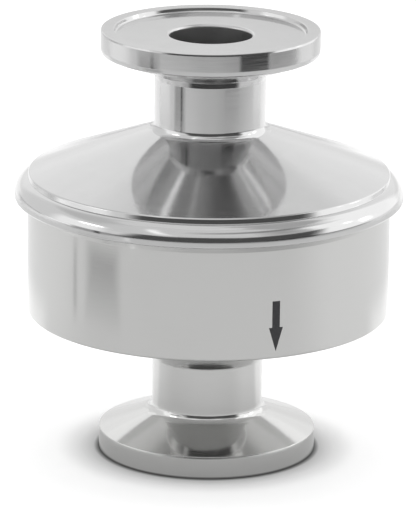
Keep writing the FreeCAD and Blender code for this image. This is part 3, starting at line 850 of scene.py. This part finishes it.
table_mesh = bpy.data.meshes.new("table")
table_mesh.from_pydata([(x, y, 0) for x, y in ((-1, -1), (1, -1), (1, 1), (-1, 1))], [], [(0, 1, 2, 3)])
for vertex in table_mesh.vertices:
    vertex.co *= FLOOR_REACH
table = bpy.data.objects.new("table", table_mesh)
bpy.context.scene.collection.objects.link(table)
paper = bpy.data.materials.new("white_table")
paper.use_nodes = True
tree = paper.node_tree
tree.nodes.clear()
rays = add(tree, "ShaderNodeLightPath").outputs
place = add(tree, "ShaderNodeTexCoord").outputs["Object"]
facing = add(tree, "ShaderNodeMapping", {"Vector": place, "Rotation": (0, 0, math.pi / 2)})
compass = add(tree, "ShaderNodeTexGradient", {"Vector": facing.outputs[0]}, gradient_type="RADIAL")
distance = add(tree, "ShaderNodeVectorMath", {0: place}, operation="LENGTH")


def dimmed(stops, near, far, taken):
    """Painted shade in the table's mirror image, by compass and distance. Less than 0 is painted light
    instead.
    """
    shares = add(tree, "ShaderNodeValToRGB", {"Fac": compass.outputs["Fac"]})
    shares.color_ramp.interpolation = "EASE"
    for element, position in zip(shares.color_ramp.elements, (0.0, 1.0)):
        element.position = position
        element.color = (0, 0, 0, 1)
    for position, share in stops:
        shares.color_ramp.elements.new(position).color = (share, share, share, 1)
    fall = add(tree, "ShaderNodeMapRange",
               {"Value": distance.outputs["Value"], "From Min": near, "From Max": far, "To Max": taken},
               interpolation_type="SMOOTHSTEP")
    return add(tree, "ShaderNodeMath", {0: shares.outputs["Color"], 1: fall.outputs[0]}, operation="MULTIPLY")


# The table's colour for mirrored rays is painted darker and lighter by compass and distance: painted shade and
# light in the metal's reflections
close = dimmed(CLOSE_ARC, 0, CLOSE_END, DIM_NEAR)
beyond = dimmed(BEYOND_ARC, TABLE_NEAR, TABLE_MIDDLE, DIM_MIDDLE)
verge = dimmed(VERGE_ARC, TABLE_FAR, TABLE_END, DIM_END)
flanks = dimmed(FLANKS_ARC, GAIN_START, GAIN_END, DIM_FLANKS)
both = add(tree, "ShaderNodeMath", {0: close.outputs[0], 1: beyond.outputs[0]}, operation="ADD")
sides = add(tree, "ShaderNodeMath", {0: both.outputs[0], 1: flanks.outputs[0]}, operation="ADD")
loss = add(tree, "ShaderNodeMath", {0: sides.outputs[0], 1: verge.outputs[0]}, operation="ADD")
mirrored = add(tree, "ShaderNodeMath", {0: 1.0, 1: loss.outputs[0]}, operation="SUBTRACT")
shade = add(tree, "ShaderNodeMix",
            {"Factor": rays["Is Glossy Ray"], "A": TABLE_WHITE, "B": mirrored.outputs[0]})
# The table's colour is darkened in a thin ring round the flange's foot, a painted contact shadow
painted_contact_shadow = add(tree, "ShaderNodeMapRange", {"Value": distance.outputs["Value"], "From Min": PAINTED_SHADOW_INNER,
                                        "From Max": PAINTED_SHADOW_OUTER, "To Min": PAINTED_SHADOW_DARK})
tone = add(tree, "ShaderNodeMath", {0: shade.outputs["Result"], 1: painted_contact_shadow.outputs[0]}, operation="MULTIPLY")
matt = add(tree, "ShaderNodeBsdfDiffuse", {"Color": tone.outputs[0]})
# The glow is 0 at the inner edge and full at the outer one, bent by a power: a painted shadow ring round the
# foot
painted_shadow_ring = add(tree, "ShaderNodeMapRange", {"Value": distance.outputs["Value"], "From Min": PAINTED_SHADOW_RING_START,
                                       "From Max": PAINTED_SHADOW_RING_END})
painted_shadow_ring_bent = add(tree, "ShaderNodeMath", {0: painted_shadow_ring.outputs[0], 1: PAINTED_SHADOW_RING_BEND}, operation="POWER")
full = add(tree, "ShaderNodeMath", {0: rays["Is Camera Ray"], 1: TABLE_GLOW}, operation="MULTIPLY")
glow = add(tree, "ShaderNodeMath", {0: full.outputs[0], 1: painted_shadow_ring_bent.outputs[0]}, operation="MULTIPLY")
shine = add(tree, "ShaderNodeEmission", {"Color": (1, 1, 1, 1), "Strength": glow.outputs[0]})
whole = add(tree, "ShaderNodeAddShader", {0: matt.outputs[0], 1: shine.outputs[0]})
add(tree, "ShaderNodeOutputMaterial", {"Surface": whole.outputs[0]})
table_mesh.materials.append(paper)

world = bpy.data.worlds.new("white_backdrop")
bpy.context.scene.world = world
world.use_nodes = True
tree = world.node_tree
tree.nodes.clear()
rays = add(tree, "ShaderNodeLightPath").outputs
direct = add(tree, "ShaderNodeMath", {0: rays["Is Camera Ray"], 1: rays["Is Glossy Ray"]}, operation="MAXIMUM")
seen = add(tree, "ShaderNodeMath", {0: direct.outputs[0], 1: rays["Is Transmission Ray"]}, operation="MAXIMUM")
level = add(tree, "ShaderNodeMapRange", {"Value": seen.outputs[0], "To Min": 0.68, "To Max": 1.0})
sky = add(tree, "ShaderNodeBackground", {"Color": (1, 1, 1, 1), "Strength": level.outputs[0]})
add(tree, "ShaderNodeOutputWorld", {"Surface": sky.outputs[0]})


def studio_card(name, azimuths, climbs, reach, level, cover, feather=0.2, lean=0, foot=None):
    """A card bent round the trap between two azimuths and two elevations in degrees, its edges feathered.

    The reach is its distance in mm, the level its brightness, the cover its opacity away from the edges,
    the lean how far its top is turned on in degrees, and the foot the feather of its lower edge.
    """
    low = foot or feather
    points = []
    covers = []
    quads = []
    for column in range(CARD_COLUMNS + 1):
        for row in range(CARD_ROWS + 1):
            across = column / CARD_COLUMNS
            up = row / CARD_ROWS
            turn = math.radians(azimuths[0] + (azimuths[1] - azimuths[0]) * across + lean * up)
            climb = math.radians(climbs[0] + (climbs[1] - climbs[0]) * up)
            points.append((math.sin(turn) * reach * MM, -math.cos(turn) * reach * MM,
                           (CARD_FOOT + reach * math.tan(climb)) * MM))
            edge = min(across / feather, (1 - across) / feather, up / low, (1 - up) / feather)
            covers.append(cover * min(1.0, edge))
    for column in range(CARD_COLUMNS):
        for row in range(CARD_ROWS):
            first = column * (CARD_ROWS + 1) + row
            quads.append((first, first + 1, first + CARD_ROWS + 2, first + CARD_ROWS + 1))
    mesh = bpy.data.meshes.new(name)
    mesh.from_pydata(points, [], quads)
    mesh.attributes.new("cover", "FLOAT", "POINT").data.foreach_set("value", covers)
    board = bpy.data.objects.new(name, mesh)
    bpy.context.scene.collection.objects.link(board)
    for sort in ("camera", "diffuse", "transmission", "shadow"):
        setattr(board, f"visible_{sort}", False)
    material = bpy.data.materials.new(name)
    material.use_nodes = True
    tree = material.node_tree
    tree.nodes.clear()
    share = add(tree, "ShaderNodeAttribute", attribute_name="cover")
    clear = add(tree, "ShaderNodeBsdfTransparent")
    face = add(tree, "ShaderNodeEmission", {"Color": (1, 1, 1, 1), "Strength": level})
    mix = add(tree, "ShaderNodeMixShader", {0: share.outputs["Fac"], 1: clear.outputs[0], 2: face.outputs[0]})
    add(tree, "ShaderNodeOutputMaterial", {"Surface": mix.outputs[0]})
    mesh.materials.append(material)


CARD_FOOT = 35
CARD_COLUMNS = 32
CARD_ROWS = 16
studio_card("left_core", (-61, -56.5), (-12, -1), 79, 0.02, 1.0, 0.3)
studio_card("left_card", (-78, -49), (-12, -1), 80, 0.5, 1.0, 0.2)
studio_card("left_card_low", (-75, -49), (-24, -16), 80, 0.4, 0.9, 0.3, 0, 0.9)
studio_card("left_line_low", (-84, -80.5), (-24, -16), 80, 0.4, 0.6, 0.3)
studio_card("left_glint", (-44, -40), (-15, -11.5), 80, 1.7, 1.0, 0.3)
studio_card("left_table", (-132, -86), (-13, -4), 150, 1.25, 0.9, 0.3)
studio_card("right_table", (96, 136), (-13, -4), 150, 1.2, 0.9, 0.3)
studio_card("right_block", (28.5, 62), (-9.4, -4.2), 151, 0.07, 1.0, 0.08)
studio_card("right_card", (52, 106), (-9.4, -4.2), 152, 0.4, 0.8, 0.33)
studio_card("dark_room", (-58, 64), (-12, 22.5), 300, 0.11, 1.0, 0.08, 12)
studio_card("back_strip", (172, 188), (11, 17), 410, 0.86, 1.0, 0.3)
studio_card("dark_crown", (-24, 20), (17.5, 25), 299, 0.11, 1.0, 0.35)
studio_card("dome_shade", (-16, 86), (28.5, 44.5), 48, 0.2, 0.72, 0.3)
studio_card("left_flank", (-160, -116), (-17, 2), 45, 1.25, 1.0, 0.2)
studio_card("right_flank", (116, 160), (-17, 2), 45, 1.3, 1.0, 0.2)
studio_card("left_sill", (-112, -68), (-9, 0), 415, 1.6, 1.0, 0.2)
studio_card("left_lamp", (-86, -66), (24, 28.5), 420, 5.0, 1.0, 0.2)
studio_card("left_window", (-104, -58), (-4, 32), 430, 1.4, 1.0, 0.2, -4)
studio_card("right_lamp", (98, 108), (3, 18), 420, 3.5, 1.0, 0.2)
studio_card("right_glint", (88, 94), (18, 24), 418, 4.5, 1.0, 0.3)
studio_card("right_window", (64, 150), (-14, 56), 430, 1.5, 1.0, 0.1)
studio_card("left_back", (-182, -146), (4, 50), 430, 1.17, 1.0, 0.2)
studio_card("right_back", (142, 171), (6, 42), 430, 1.17, 1.0, 0.2)
studio_card("left_streak", (-30, -16), (26, 64), 440, 1.6, 1.0, 0.35, -30)
studio_card("right_shade", (28, 74), (12, 64), 450, 0.5, 0.95, 0.45)
studio_card("front_ceiling", (-90, 70), (16, 80), 460, 0.93, 1.0, 0.1)
studio_card("left_upper", (-150, -62), (36, 64), 470, 0.78, 1.0, 0.2)
studio_card("right_upper", (50, 172), (52, 80), 480, 0.6, 1.0, 0.15)

# Lamps: name, azimuth and elevation in degrees, distance, width, height, watts
for name, azimuth, elevation, distance, width, height, watts in (
    ("side_lamp_left", -100, 50, 0.60, 0.36, 0.40, 0.30),
    ("side_lamp_right", 95, 50, 0.60, 0.36, 0.40, 0.30),
    ("top_lamp", 180, 80, 0.60, 0.50, 0.35, 0.90),
):
    lamp = bpy.data.lights.new(name, "AREA")
    lamp.shape = "RECTANGLE"
    lamp.size = width
    lamp.size_y = height
    lamp.energy = watts
    holder = bpy.data.objects.new(name, lamp)
    bpy.context.scene.collection.objects.link(holder)
    turn = math.radians(azimuth)
    lift = math.radians(elevation)
    way = Vector((math.sin(turn) * math.cos(lift), -math.cos(turn) * math.cos(lift), math.sin(lift)))
    holder.location = way * distance
    holder.rotation_euler = way.to_track_quat("Z", "Y").to_euler()
    holder.visible_glossy = False

# Camera at the photograph's angle: its distance, height and lens are worked out from the two
# flanges, both taken as 25.0 mm across, and from the shell, bead and bore between them.

AIM = Vector((0, 0, 22.357 * MM))
CAMERA_DISTANCE = 542.6 * MM
CAMERA_RISE = math.radians(16.02)
CAMERA_ROLL = math.radians(0.64)
FOCAL_PIXELS = 4719.9
PHOTO_HEIGHT = 520
LENS_SHIFT = -0.0006
CLIP_NEAR = 0.01
CLIP_FAR = 20
camera_data = bpy.data.cameras.new("camera")
camera = bpy.data.objects.new("camera", camera_data)
bpy.context.scene.collection.objects.link(camera)
bpy.context.scene.camera = camera
camera_data.lens = FOCAL_PIXELS / PHOTO_HEIGHT * camera_data.sensor_width
camera_data.shift_x = LENS_SHIFT
camera_data.clip_start = CLIP_NEAR
camera_data.clip_end = CLIP_FAR
out = Vector((0, -math.cos(CAMERA_RISE), math.sin(CAMERA_RISE)))
camera.matrix_world = (
    Matrix.Translation(AIM + out * CAMERA_DISTANCE)
    @ Matrix.Rotation(math.pi / 2 - CAMERA_RISE, 4, "X")
    @ Matrix.Rotation(CAMERA_ROLL, 4, "Z")
)

bpy.context.scene.view_settings.view_transform = "Standard"
